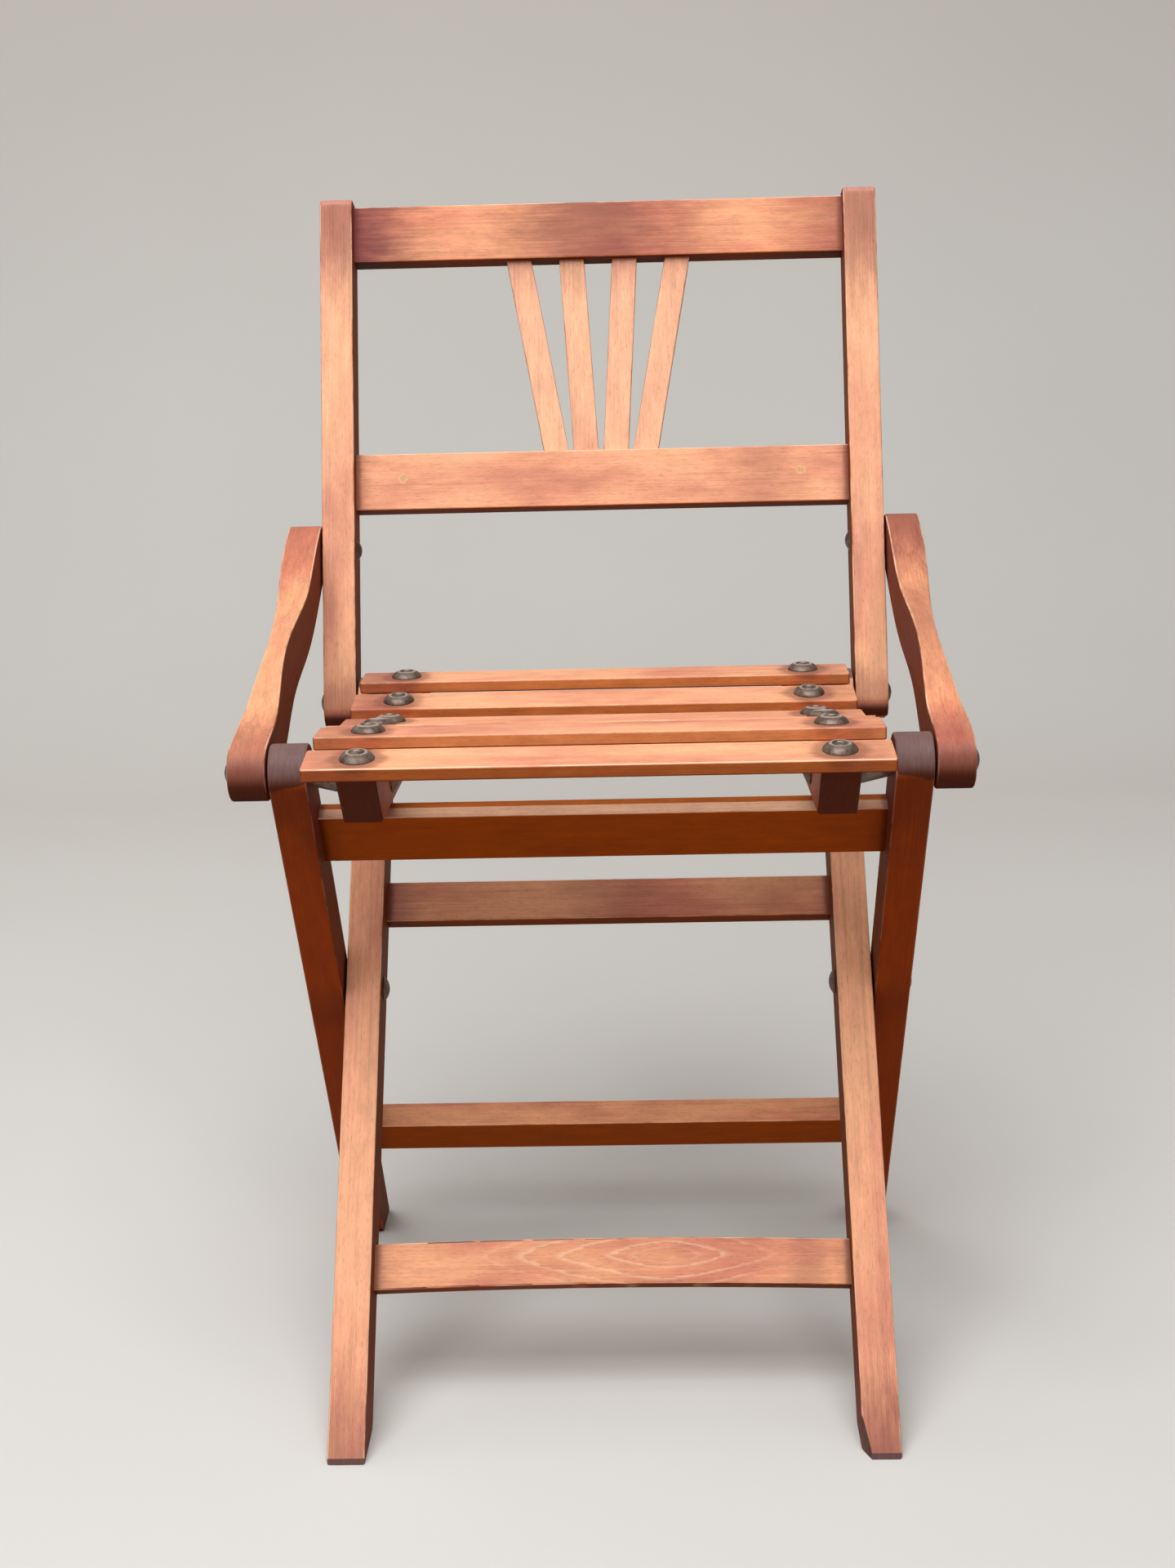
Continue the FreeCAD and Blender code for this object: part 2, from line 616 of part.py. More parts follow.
def seat_bearer():
    """A bearer with a flat for each slat on top, a slant nose, and a hook for the cross rod at the rear."""
    half = SLAT_WIDTH / 2
    flats = []
    for index in range(SLATS):
        frame = slat_frame(index)
        flats.append(frame.at(-SLAT_THICKNESS, -half))
        flats.append(frame.at(-SLAT_THICKNESS, half))
    nose = slat_frame(0).at(-SLAT_THICKNESS, BEARER_SETBACK - half)
    chin = SEAT.at(BEARER_SETBACK + BEARER_NOSE - SEAT_FRONT, BEARER_KEEL)
    tail = SEAT.at(PIVOT_SPAN + ROD_RADIUS + ROD_PLAY + HOOK_LIP, BEARER_KEEL)
    heel = (tail[0], flats[-1][1])
    corners = [chin, nose] + flats[1:] + [heel, tail]
    blank = side_plate(corners, BEARER_IN, BEARER_OUT)
    faces = [e for e in blank.Edges if flat_at(e, BEARER_IN) or flat_at(e, BEARER_OUT)]
    blank = blank.makeFillet(EASE, [e for e in faces if e.Length > 1.2 * SLAT_WIDTH])
    blank = blank.cut(hook_mouth())
    blank = blank.cut(cross_hole(RIVET_RADIUS + RUNNING_FIT, BEARER_IN, BEARER_OUT, FRONT_PIVOT))
    for index in range(SLATS):
        blank = blank.cut(seat_rivet_hole(index))
    return blank


def hook_mouth():
    """The hook's opening: round over the rod, upright behind it and sloped away ahead of it."""
    radius = ROD_RADIUS + ROD_PLAY
    turn = math.radians(HOOK_MOUTH)
    reach = 2 * BEARER_KEEL
    y, z = ROD
    ahead = (y - radius * math.cos(turn), z + radius * math.sin(turn))
    corners = [
        (y + radius, z),
        (y + radius, z - reach),
        (ahead[0] - reach * math.tan(turn), ahead[1] - reach),
        ahead,
    ]
    mouth = side_plate(corners, BEARER_IN - CUT_OVER, BEARER_OUT + CUT_OVER)
    return mouth.fuse(cross_hole(radius, BEARER_IN, BEARER_OUT, ROD))


# Metal

def cross_rivet():
    """The leg crossing rivet, headed outside the outer leg and inside the inner leg."""
    inside_x = INNER_IN - HEAD_PLAY
    shank = cross_cylinder(RIVET_RADIUS, inside_x, OUTER_OUT, CROSSING)
    outside = side_head(HEAD_RADIUS, HEAD_HEIGHT, OUTER_OUT, CROSSING, 1)
    inside = side_head(HEAD_RADIUS, HEAD_HEIGHT, inside_x, CROSSING, -1)
    return shank.fuse([outside, inside]).removeSplitter()


def front_pivot_rivet():
    """The long rivet at the seat front: arm, outer leg, spacer and bearer turn on it."""
    inside_x = BEARER_IN - HEAD_PLAY
    outside_x = ARM_OUT + HEAD_PLAY
    shank = cross_cylinder(RIVET_RADIUS, inside_x, outside_x, FRONT_PIVOT)
    head = side_head(HEAD_RADIUS, HEAD_HEIGHT, outside_x, FRONT_PIVOT, 1)
    washer = side_head(WASHER_RADIUS, WASHER_HEIGHT, inside_x, FRONT_PIVOT, -1)
    tail = cross_cylinder(TAIL_RADIUS, inside_x - WASHER_HEIGHT - TAIL_HEIGHT, inside_x, FRONT_PIVOT)
    return shank.fuse([head, washer, tail]).removeSplitter()


def pivot_spacer():
    """The turned cone that fills the inner leg's layer between the outer leg and the bearer."""
    length = OUTER_IN - BEARER_OUT - SPACER_PLAY
    corners = [
        (RIVET_RADIUS, 0),
        (SPACER_NARROW_RADIUS, 0),
        (SPACER_WIDE_RADIUS, length),
        (RIVET_RADIUS, length),
        (RIVET_RADIUS, 0),
    ]
    return stood(spun(section_lines(corners)), Vector(OUTER_IN, *FRONT_PIVOT), Vector(-1, 0, 0))


def arm_rivet():
    """The rear arm rivet, fast in the stile."""
    outside_x = ARM_OUT + HEAD_PLAY
    shank = cross_cylinder(RIVET_RADIUS, OUTER_IN, outside_x, ARM_PIVOT)
    outside = side_head(HEAD_RADIUS, HEAD_HEIGHT, outside_x, ARM_PIVOT, 1)
    inside = side_head(INSIDE_HEAD_RADIUS, HEAD_HEIGHT, OUTER_IN, ARM_PIVOT, -1)
    return shank.fuse([outside, inside]).removeSplitter()


def cross_rod():
    """The steel rod through both inner leg tops, capped outside the stile forks."""
    cap_x = OUTER_OUT + ROD_CAP_PLAY
    rod = cross_cylinder(ROD_RADIUS, -cap_x, cap_x, ROD)
    cap = domed_head(ROD_CAP_RADIUS, ROD_CAP_HEIGHT, ROD_RADIUS, Vector(cap_x, *ROD), Vector(1, 0, 0))
    return rod.fuse([cap, mirrored(cap)]).removeSplitter()


def save(node, shape):
    shape.exportStep("parts/" + node + ".step")


def save_pair(node, shape):
    save(node + "_right", shape)
    save(node + "_left", mirrored(shape))


def main():
    os.makedirs("parts", exist_ok=True)
    save_pair("outer_leg", outer_leg())
    save("front_rail", FRONT_RAIL.piece())
    save("rear_foot_rail", FOOT_RAIL.piece())
    save_pair("cross_rivet", cross_rivet())
    save_pair("front_pivot_rivet", front_pivot_rivet())
    save_pair("pivot_spacer", pivot_spacer())

    save("inner_leg_right", worn_foot(inner_leg()))
    save("inner_leg_left", mirrored(inner_leg()))
    save("upper_stretcher", UPPER_STRETCHER.piece())
    save("lower_stretcher", LOWER_STRETCHER.piece())
    save("rear_cross_rod", cross_rod())

    save_pair("seat_bearer", seat_bearer())
    for index in range(SLATS):
        save(f"seat_slat_{index + 1}", seat_slat(index))
        save_pair(f"seat_rivet_{index + 1}", seat_rivet(index))

    save_pair("armrest", armrest())

    save_pair("back_stile", back_stile())
    save("top_back_rail", slotted(TOP_RAIL))
    save("lower_back_rail", lower_back_rail())
    for index in range(SPLATS):
        save(f"back_splat_{index + 1}", splat(index))
    save_pair("arm_rivet", arm_rivet())
    save_pair("rail_plug", rail_plug())


main()
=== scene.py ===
import json
import math

import bpy
from mathutils import Matrix, Vector


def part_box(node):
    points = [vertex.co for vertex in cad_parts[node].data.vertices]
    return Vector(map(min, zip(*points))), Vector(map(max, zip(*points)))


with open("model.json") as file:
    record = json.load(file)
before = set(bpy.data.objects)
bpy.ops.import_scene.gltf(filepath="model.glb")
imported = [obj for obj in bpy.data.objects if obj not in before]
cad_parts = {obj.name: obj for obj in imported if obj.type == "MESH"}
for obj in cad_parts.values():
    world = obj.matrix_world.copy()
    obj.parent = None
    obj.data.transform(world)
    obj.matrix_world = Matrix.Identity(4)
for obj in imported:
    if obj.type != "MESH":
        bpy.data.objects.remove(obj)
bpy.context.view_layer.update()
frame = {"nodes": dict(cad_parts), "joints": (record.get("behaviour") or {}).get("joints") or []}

# Viewpoint, in metres and degrees, with the picture in pixels and the sensor in millimetres
EYE = (0.0194, -1.0687, 0.5487)
EYE_TURN = 1.522
EYE_DROP = 13.813
EYE_TILT = -1.426
PICTURE = (1439, 1920)
FOCAL_PIXELS = 2596
SENSOR = 36.0

# Pivots, read from the frame
PIVOT = {joint["name"]: Vector(joint["pos_m"]) for joint in frame["joints"]}
CROSSING = PIVOT["legs_fold"]
FRONT_PIVOT = PIVOT["seat_swing"]
ARM_RIVET = PIVOT["back_swing"]


def middle(node):
    low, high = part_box(node)
    return (low + high) / 2


ROD = middle("rear_cross_rod")


def lean(low, high):
    """Angle of a board from upright, in the side view, positive when its top lies back."""
    return math.atan2(high.y - low.y, high.z - low.z)


OUTER_LEAN = lean(CROSSING, FRONT_PIVOT)
INNER_LEAN = lean(CROSSING, ROD)
STILE_LEAN = lean(ROD, ARM_RIVET)
ARM_LEAN = lean(FRONT_PIVOT, ARM_RIVET)
SEAT_LEAN = lean(FRONT_PIVOT, ROD)


def rgb(red, green, blue):
    """A colour given as it looks on a screen, 0 to 255, for a colour socket."""
    def linear(part):
        part /= 255
        return part / 12.92 if part <= 0.04045 else ((part + 0.055) / 1.055) ** 2.4
    return (linear(red), linear(green), linear(blue), 1.0)


class Wire:
    """A socket that can be reckoned with: each operator adds its node."""

    def __init__(self, nodes, socket):
        self.nodes = nodes
        self.socket = socket

    def math(self, operation, first, second=0.0):
        return self.nodes.add("Math", {"operation": operation}, {0: first, 1: second})

    def __add__(self, other):
        return self.math("ADD", self, other)

    def __sub__(self, other):
        return self.math("SUBTRACT", self, other)

    def __rsub__(self, other):
        return self.math("SUBTRACT", other, self)

    def __mul__(self, other):
        return self.math("MULTIPLY", self, other)

    def __truediv__(self, other):
        return self.math("DIVIDE", self, other)

    def __rtruediv__(self, other):
        return self.math("DIVIDE", other, self)

    def __pow__(self, other):
        return self.math("POWER", self, other)

    def __rpow__(self, other):
        return self.math("POWER", other, self)

    def __abs__(self):
        return self.math("ABSOLUTE", self)

    __radd__ = __add__
    __rmul__ = __mul__

    def larger(self, other):
        return self.math("MAXIMUM", self, other)

    def step(self, low, high):
        """0 below low and 1 above high, smooth between; turned round where low is above high."""
        return self.nodes.add(
            "MapRange", {"interpolation_type": "SMOOTHSTEP"},
            {"Value": self, "From Min": low, "From Max": high})


class Nodes:
    """The node tree of a material or of the room, with one method that adds any node."""

    def __init__(self, owner):
        owner.use_nodes = True
        self.tree = owner.node_tree
        self.tree.nodes.clear()

    def add(self, kind, settings, sockets, out=0):
        node = self.tree.nodes.new("ShaderNode" + kind)
        for name, value in settings.items():
            setattr(node, name, value)
        for key, value in sockets.items():
            if isinstance(value, Wire):
                self.tree.links.new(value.socket, node.inputs[key])
            else:
                node.inputs[key].default_value = value
        return Wire(self, node.outputs[out]) if node.outputs else None


class Finish(Nodes):
    """One material. A spot on a piece, and the way it faces, are those of the piece at rest."""

    def __init__(self, name):
        self.material = bpy.data.materials.new(name)
        super().__init__(self.material)

    def spot_on_piece(self):
        return self.add("TexCoord", {}, {}, "Object")

    def way_it_faces(self):
        return self.add("TexCoord", {}, {}, "Normal")

    def parts(self, vector):
        return [self.add("SeparateXYZ", {}, {0: vector}, axis) for axis in range(3)]

    def joined(self, x, y, z):
        return self.add("CombineXYZ", {}, {0: x, 1: y, 2: z})

    def noise(self, vector, scale, detail, roughness):
        return self.add(
            "TexNoise", {"normalize": True},
            {"Vector": vector, "Scale": scale, "Detail": detail, "Roughness": roughness})

    def mix(self, below, above, share):
        """Colour above laid over colour below by a share from 0 to 1."""
        return self.add(
            "Mix", {"data_type": "RGBA"}, {"Factor": share, 6: below, 7: above}, 2)

    def shade(self, colour, by):
        """A colour made darker or lighter, by a number."""
        return self.add(
            "VectorMath", {"operation": "SCALE"},
            {"Vector": colour if isinstance(colour, Wire) else colour[:3], "Scale": by})

    def bump(self, height, strength, distance):
        return self.add(
            "Bump", {}, {"Height": height, "Strength": strength, "Distance": distance})

    def surface(self, sockets):
        shader = self.add("BsdfPrincipled", {}, sockets)
        self.add("OutputMaterial", {}, {"Surface": shader})
        return self.material


# Each noise in the beech: its waves a metre along the grain, across and deep, its detail and its roughness
CLOUD = ((11, 36, 36), 3.0, 0.55)
STREAK = ((15, 1100, 1100), 4.0, 0.7)
FLECK = ((260, 3200, 3200), 2.0, 0.6)
MOTTLE = ((55, 170, 170), 3.0, 0.6)
VEIN = ((5, 260, 260), 3.0, 0.6)
EDGE_PATCHES = ((45, 70, 70), 3.0, 0.65)
END_LINES = ((130, 1700, 130), 3.0, 0.65)
SEED_STEP = (0.37, 0.11, 0.23)


class Board(Finish):
    """Beech on one leaning board: places and facings are (along the grain, across, deep), in metres."""

    def __init__(self, name, turn, along, seed):
        super().__init__(name)
        self.along = along
        self.place = self.levelled("POINT", self.spot_on_piece(), turn)
        self.facing = self.levelled("NORMAL", self.way_it_faces(), turn)
        self.sideways, _, self.upward = self.parts(self.way_it_faces())
        self.spot = self.joined(*(part + seed * step for part, step in zip(self.place, SEED_STEP)))
        self.cloud = self.grain(*CLOUD)
        self.streak = self.grain(*STREAK)
        self.fleck = self.grain(*FLECK)
        self.mottle = self.grain(*MOTTLE)

    def levelled(self, kind, vector, turn):
        x, y, z = self.parts(self.add(
            "Mapping", {"vector_type": kind}, {"Vector": vector, "Rotation": (turn, 0, 0)}))
        return (x, z, y) if self.along == "X" else (z, x, y)

    def grain(self, waves, detail, roughness):
        drawn = self.add("VectorMath", {"operation": "MULTIPLY"}, {0: self.spot, 1: waves})
        return self.noise(drawn, 1.0, detail, roughness)

    def uneven(self, size):
        """A small number, to either side of nothing, that makes the edge of a mark uneven."""
        return (self.mottle - 0.5) * size


# Finish colours of the stained beech and the old steel; some of them are painted light, shade or highlight,
# as noted at each
# Lit, rosy lit, amber and shaded copies of one stain: painted light on faces that look up, painted shade on
# faces that look down
LIT_WOOD = rgb(242, 170, 126)
ROSY_LIT_WOOD = rgb(222, 138, 108)
AMBER_WOOD = rgb(212, 122, 64)
SHADED_WOOD = rgb(158, 66, 0)
SHADED_AMBER = rgb(176, 84, 0)
STAIN_POOL = rgb(130, 64, 60)
# Pale wood, also used as a painted highlight on edges that look up
PALE_WEAR_AND_HIGHLIGHT = rgb(252, 206, 172)
END_GRAIN = rgb(104, 84, 84)
# Darker end grain; on ends that look down it is painted shade
SHADED_END_GRAIN = rgb(78, 38, 28)
ARM_END = rgb(124, 74, 64)
ROSY_END = rgb(196, 132, 118)
PORE = rgb(116, 50, 22)
OLD_STEEL = rgb(122, 106, 96)
RUST_STEEL = rgb(90, 70, 58)
# Rubbed steel with a painted highlight, for heads that look up
WORN_AND_HIGHLIT_STEEL = rgb(206, 194, 182)
GREY_FILLER = rgb(208, 164, 112)


def reach(point, turn):
    """How far up a leaning board a point lies, measured as the board's finish measures it."""
    return point.y * math.sin(turn) + point.z * math.cos(turn)


def toned(colour, pale):
    """A finish colour moved towards the pale colour of worn and highlit edges, or darkened where the share
    is below nothing.
    """
    share, keep = max(pale, 0.0), 1.0 + min(pale, 0.0)
    blend = [(one * (1 - share) + wear_and_highlight * share) * keep for one, wear_and_highlight in zip(colour, PALE_WEAR_AND_HIGHLIGHT)]
    return (*blend[:3], 1.0)


# How far up a face has to look for each change of its colour, from none of it to all of it: the painted
# light above, the painted shade below and under, the stain, and the worn edges with their painted highlight
PAINTED_LIGHT_ABOVE = (0.02, 0.3)
PAINTED_SHADE_BELOW = (-0.4, 0.06)
PAINTED_SHADE_UNDER = (-0.6, -0.92)
TAKES_STAIN = (-0.5, 0.1)
TAKES_DARK_STAIN = (-0.1, -0.5)
GETS_WEAR_AND_HIGHLIGHT = (-0.6, 0.1)
# How much less a face that looks sideways counts as looking up, which paints shade on side faces
SIDE_PAINTED_SHADE = 0.3


def painted_light_by_facing(board, look_up, pale, deep, front):
    """Painted light and shade by the way a face looks: the lit or rosy lit colour above, amber upright, the
    painted-shade deep colour below.
    """
    lit = board.mix(toned(LIT_WOOD, pale), toned(ROSY_LIT_WOOD, pale), board.cloud.step(0.4, 0.68))
    upright = board.mix(toned(AMBER_WOOD, front), lit, look_up.step(*PAINTED_LIGHT_ABOVE))
    return board.mix(deep, upright, look_up.step(*PAINTED_SHADE_BELOW))


# Darkening, in metres: how far the painted shade spreads from a joint, and the darker ring from the middle
# of a rivet
SEAM_PAINTED_SHADE = (0.004, 0.0005)
RIVET_DARKENING = (0.016, 0.0105)


def painted_shade_and_darkening(board, hand, seam, rivet):
    """Share of darkening: painted shade under the board, on its inner side and at its joints, and a darker
    ring round its rivets.
    """
    shade_and_darkening = board.upward.step(*PAINTED_SHADE_UNDER) * 0.65
    if hand:
        shade_and_darkening = shade_and_darkening.larger((board.sideways * -hand).step(0.5, 0.95) * 0.55)
    if seam is not None:
        from_middle = abs(board.place[0]) + board.uneven(0.003)
        shade_and_darkening = shade_and_darkening.larger(from_middle.step(*(seam - width for width in SEAM_PAINTED_SHADE)) * 0.6)
    if rivet is not None:
        along, across, deep = board.place
        off = board.joined(abs(along) - rivet.x, deep - rivet.y, across - rivet.z)
        from_rivet = board.add("VectorMath", {"operation": "LENGTH"}, {0: off}, "Value")
        shade_and_darkening = shade_and_darkening.larger((from_rivet + board.uneven(0.006)).step(*RIVET_DARKENING) * 0.45)
    return shade_and_darkening


def stained(board, pools):
    """Share of pooled stain: a little anywhere, and more in each pool along the board."""
    stain = board.cloud.step(0.56, 0.74) * 0.2
    ragged = (board.cloud - 0.5) * 0.8 + board.uneven(0.4) + (board.streak - 0.5) * 0.4
    for centre, half, strength in pools:
        away = abs(board.place[0] - centre) / half + ragged
        stain = stain.larger(away.step(1.15, 0.1) * strength)
    return stain


def worn_and_highlit_edges(board, wear_and_highlight_amount):
    """Share of pale colour on the eased edges, which face half one way and half another: worn bare wood,
    with a painted highlight on edges that look up.
    """
    _, across, deep = [part * part for part in board.facing]
    arris = across * deep * 4 if board.along == "X" else across * (1 - across) * 4
    patches = (board.grain(*EDGE_PATCHES) + (wear_and_highlight_amount - 0.8)).step(0.34, 0.6)
    return arris.step(0.35, 0.8) * patches * board.upward.step(*GETS_WEAR_AND_HIGHLIGHT)


# Half the play of the edge of a rail's painted rear shade, in metres, and how much less that strip counts
# as looking up, so that it takes painted shade
SHADE_LINE = 0.0004
SHADE_DEPTH = 1.1


def beech(name, turn, along, seed, pools=(), pale=0.0, deep=SHADED_WOOD, front=0.0, wear_and_highlight_amount=0.8,
          cut_ends=(0.12, 0.2), end_colour=END_GRAIN, slant=(0.0, 0.0),
          hand=0, seam=None, rivet=None, figure=None, shaded_rear=None):
    """Stained beech, with painted light on the faces that look up and painted shade on those that look down
    or sideways, under it, on its inner side and at its joints; with stain pooled near the joints, fine
    lines, end grain and worn edges with a painted highlight. Its deep colour is the painted shade of faces
    that look down."""
    board = Board(name, turn, along, seed)
    streak, mottle, upward = board.streak, board.mottle, board.upward
    # How far a face counts as looking up, less when it looks sideways; it sets the painted light and shade
    look_up = upward - board.sideways * board.sideways * SIDE_PAINTED_SHADE + mottle * 0.1
    # The rear strip of the front rail's top counts as looking further down: painted shade
    if shaded_rear is not None:
        behind = board.place[2] - shaded_rear + board.uneven(0.001)
        look_up = look_up - behind.step(-SHADE_LINE, SHADE_LINE) * SHADE_DEPTH
    # Painted shade under the board, on its inner side and at its joints, and darker rings round its rivets
    shade_and_darkening = painted_shade_and_darkening(board, hand, seam, rivet)
    # Painted light and shade by the way each face looks, darkened by the share above
    colour = board.shade(painted_light_by_facing(board, look_up, pale, deep, front), 1 - shade_and_darkening)
    if figure:
        colour = board.mix(colour, PALE_WEAR_AND_HIGHLIGHT, figure(board))
    stain = stained(board, pools)
    colour = board.mix(colour, STAIN_POOL, stain * upward.step(*TAKES_STAIN))
    dark_stain = stain * upward.step(*TAKES_DARK_STAIN) * 0.6
    colour = board.shade(colour, (1 - dark_stain) * (0.45 + streak * 0.6 + mottle * 0.5))
    pores = board.grain(*VEIN).step(0.57, 0.76) * 0.26 + board.fleck.step(0.54, 0.7) * 0.32
    colour = board.mix(colour, PORE, pores)
    # Worn pale edges, with a painted highlight where they look up
    wear_and_highlight = worn_and_highlit_edges(board, wear_and_highlight_amount)
    colour = board.mix(colour, PALE_WEAR_AND_HIGHLIGHT, wear_and_highlight * wear_and_highlight_amount)
    middle_line, slope = slant
    cut = abs(board.facing[0]) + board.uneven(0.12) + (board.place[1] - middle_line) * slope
    cut = cut.step(*cut_ends)
    # Ends that look down take the darker end grain: painted shade
    end = board.mix(SHADED_END_GRAIN, end_colour, upward.step(-0.35, 0.15))
    colour = board.mix(colour, board.shade(end, 0.45 + board.grain(*END_LINES) * 1.1), cut * 0.9)
    raised = board.fleck * 0.4 + streak * 0.6 + mottle * 0.2
    return board.surface({
        "Base Color": colour,
        "Roughness": 0.42 + streak * 0.14 + cut * 0.2 - wear_and_highlight * 0.05 + shade_and_darkening * 0.3,
        "Specular IOR Level": 0.12,
        "Coat Weight": look_up.step(0.0, 0.6) * 0.12,
        "Coat Roughness": 0.35,
        "Normal": board.bump(raised, 0.16, 0.0006)})


# Growth lines on the lower stretcher: middle, half size of the smallest, and each line's size and strength
FIGURE = (0.0275, 0.0036)
FIGURE_SIZE = (0.028, 0.0062)
FIGURE_POINT = 1.35
FIGURE_LINES = ((0.55, 0.2), (1.0, 0.5), (1.85, 0.5), (2.55, 0.42), (3.2, 0.2))


def flame_figure(board):
    """Nested pale growth lines of a flat-sawn board, drawn to a point along the grain."""
    level = reach(middle("lower_stretcher"), INNER_LEAN) + FIGURE[1]
    off = (board.place[0] - FIGURE[0]) / FIGURE_SIZE[0]
    rise = (board.place[1] - level) / FIGURE_SIZE[1]
    size = (abs(off) ** FIGURE_POINT + abs(rise) ** FIGURE_POINT) ** (1 / FIGURE_POINT)
    size = size + board.uneven(0.55) + (board.streak - 0.5) * 0.25
    lines = 0.0
    for line, strength in FIGURE_LINES:
        past = size - line
        lines = lines + past.step(-0.05, 0.0) * past.step(0.2, 0.02) * strength
    return lines * (0.25 + off.step(2.2, 0.3) * 0.75)


def old_steel(name):
    """Dark, tarnished steel, rubbed bright where a head stands highest, with a painted highlight there."""
    steel = Finish(name)
    spot = steel.spot_on_piece()
    cloud = steel.noise(spot, 160.0, 4.0, 0.65)
    pits = steel.noise(spot, 1100.0, 2.0, 0.6)
    upward = steel.parts(steel.way_it_faces())[2]
    colour = steel.mix(OLD_STEEL, RUST_STEEL, cloud.step(0.42, 0.62))
    # Faces that look straight up take the bright colour: rubbed steel with a painted highlight
    colour = steel.mix(colour, WORN_AND_HIGHLIT_STEEL, (upward + (pits - 0.5) * 0.1).step(0.9, 0.99) * 0.8)
    return steel.surface({
        "Base Color": colour, "Metallic": 0.6,
        "Roughness": 0.4 + cloud * 0.2,
        "Normal": steel.bump(pits + cloud, 0.3, 0.0005)})


# Edge of the grey mark in a filled nail hole, in metres from its middle
FILLER_EDGE = (0.0032, 0.0022)


def filled_hole(node):
    """A filled nail hole: a small grey mark in a plug stained like the rail round it."""
    filler = Finish("filled_nail_hole_" + node)
    spot = filler.spot_on_piece()
    grain = filler.noise(spot, 900.0, 2.0, 0.6)
    away = filler.add(
        "VectorMath", {"operation": "DISTANCE"}, {0: spot, 1: middle(node)}, "Value")
    mark = (away + (grain - 0.5) * 0.002).step(*FILLER_EDGE)
    # The plug takes the lit wood colour, the painted light of a face that looks up
    colour = filler.mix(toned(LIT_WOOD, 0.1), GREY_FILLER, mark)
    return filler.surface({
        "Base Color": filler.shade(colour, 0.75 + grain * 0.5),
        "Roughness": 0.5 + grain * 0.2})


def dress(node, material):
    for slot in frame["nodes"][node].material_slots:
        slot.material = material


# How strongly the stain has pooled on the two sides, from 0 to 1
REAR_ARM_STAIN = {"left": 0.45, "right": 0.8}
MIDDLE_ARM_STAIN = {"left": 0.1, "right": 0.5}
UPPER_LEG_STAIN = {"left": 0.05, "right": 0.45}
FOOT_STAIN = {"left": 0.55, "right": 0.75}
CAP_SLOPE = 14.0


def dress_side(number, side):
    """Legs, stile, arm and bearer of one side. A pool of stain is a place, a half length and a strength."""
    hand = number * 2 - 1
    outer_leg = "outer_leg_" + side
    dress(outer_leg, beech(
        "outer_leg_wood_" + side, OUTER_LEAN, "Z", 1 + number, hand=hand,
        slant=(middle(outer_leg).x, CAP_SLOPE * hand),
        pools=[(reach(FRONT_PIVOT, OUTER_LEAN), 0.06, 0.6), (reach(CROSSING, OUTER_LEAN), 0.02, 0.3)]))
    inner_leg = "inner_leg_" + side
    foot = reach(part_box(inner_leg)[0], INNER_LEAN)
    dress(inner_leg, beech(
        "inner_leg_wood_" + side, INNER_LEAN, "Z", 3 + number, hand=hand, pale=0.15,
        pools=[(foot, 0.06, FOOT_STAIN[side]),
               (reach(ROD, INNER_LEAN) - 0.05, 0.05, UPPER_LEG_STAIN[side])]))
    stile = "back_stile_" + side
    stile_top = reach(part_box(stile)[1], STILE_LEAN)
    dress(stile, beech(
        "stile_wood_" + side, STILE_LEAN, "Z", 5 + number, hand=hand, pale=0.32,
        cut_ends=(0.2, 0.3), end_colour=ROSY_END,
        pools=[(stile_top - 0.015, 0.055, 0.65), (reach(ROD, STILE_LEAN), 0.015, 0.4)]))
    arm_middle = (FRONT_PIVOT + ARM_RIVET) / 2
    dress("armrest_" + side, beech(
        "arm_wood_" + side, ARM_LEAN, "Z", 7 + number, hand=hand,
        cut_ends=(0.1, 0.95), end_colour=ARM_END,
        pools=[(reach(FRONT_PIVOT, ARM_LEAN), 0.045, 0.6),
               (reach(ARM_RIVET, ARM_LEAN), 0.08, REAR_ARM_STAIN[side]),
               (reach(arm_middle, ARM_LEAN), 0.08, MIDDLE_ARM_STAIN[side])]))
    dress("seat_bearer_" + side, beech(
        "bearer_wood_" + side, SEAT_LEAN, "Z", 9 + number, end_colour=SHADED_END_GRAIN))


# Each rail: the board it meets, its lean, its paleness, and its pools of stain as shares of its half length
RAILS = {
    "front_rail": (
        "outer_leg", OUTER_LEAN, 0.7, ((-0.95, 0.1, 0.25), (0.95, 0.1, 0.35))),
    "rear_foot_rail": (
        "outer_leg", OUTER_LEAN, 0.0, ((-0.95, 0.1, 0.4), (0.95, 0.1, 0.4))),
    "upper_stretcher": (
        "inner_leg", INNER_LEAN, -0.15, ((-0.9, 0.15, 0.5), (0.05, 0.3, 0.35), (0.95, 0.12, 0.4))),
    "lower_stretcher": (
        "inner_leg", INNER_LEAN, -0.05, ((-0.95, 0.14, 0.4), (0.75, 0.1, 0.3), (0.95, 0.1, 0.4))),
    "top_back_rail": (
        "back_stile", STILE_LEAN, 0.0, ((-0.95, 0.35, 1.0), (0.02, 0.5, 0.75), (0.95, 0.3, 0.6))),
    "lower_back_rail": (
        "back_stile", STILE_LEAN, 0.2, ((-0.95, 0.1, 0.5), (0.6, 0.2, 0.25), (0.95, 0.08, 0.5))),
}
# Where the painted shade on the front rail's rear strip begins, in metres behind the rail's middle
REAR_SHADE = 0.0010


def rail_pools(node, marks):
    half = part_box(node)[1].x
    return [(share * half, wide * half, strength) for share, wide, strength in marks]


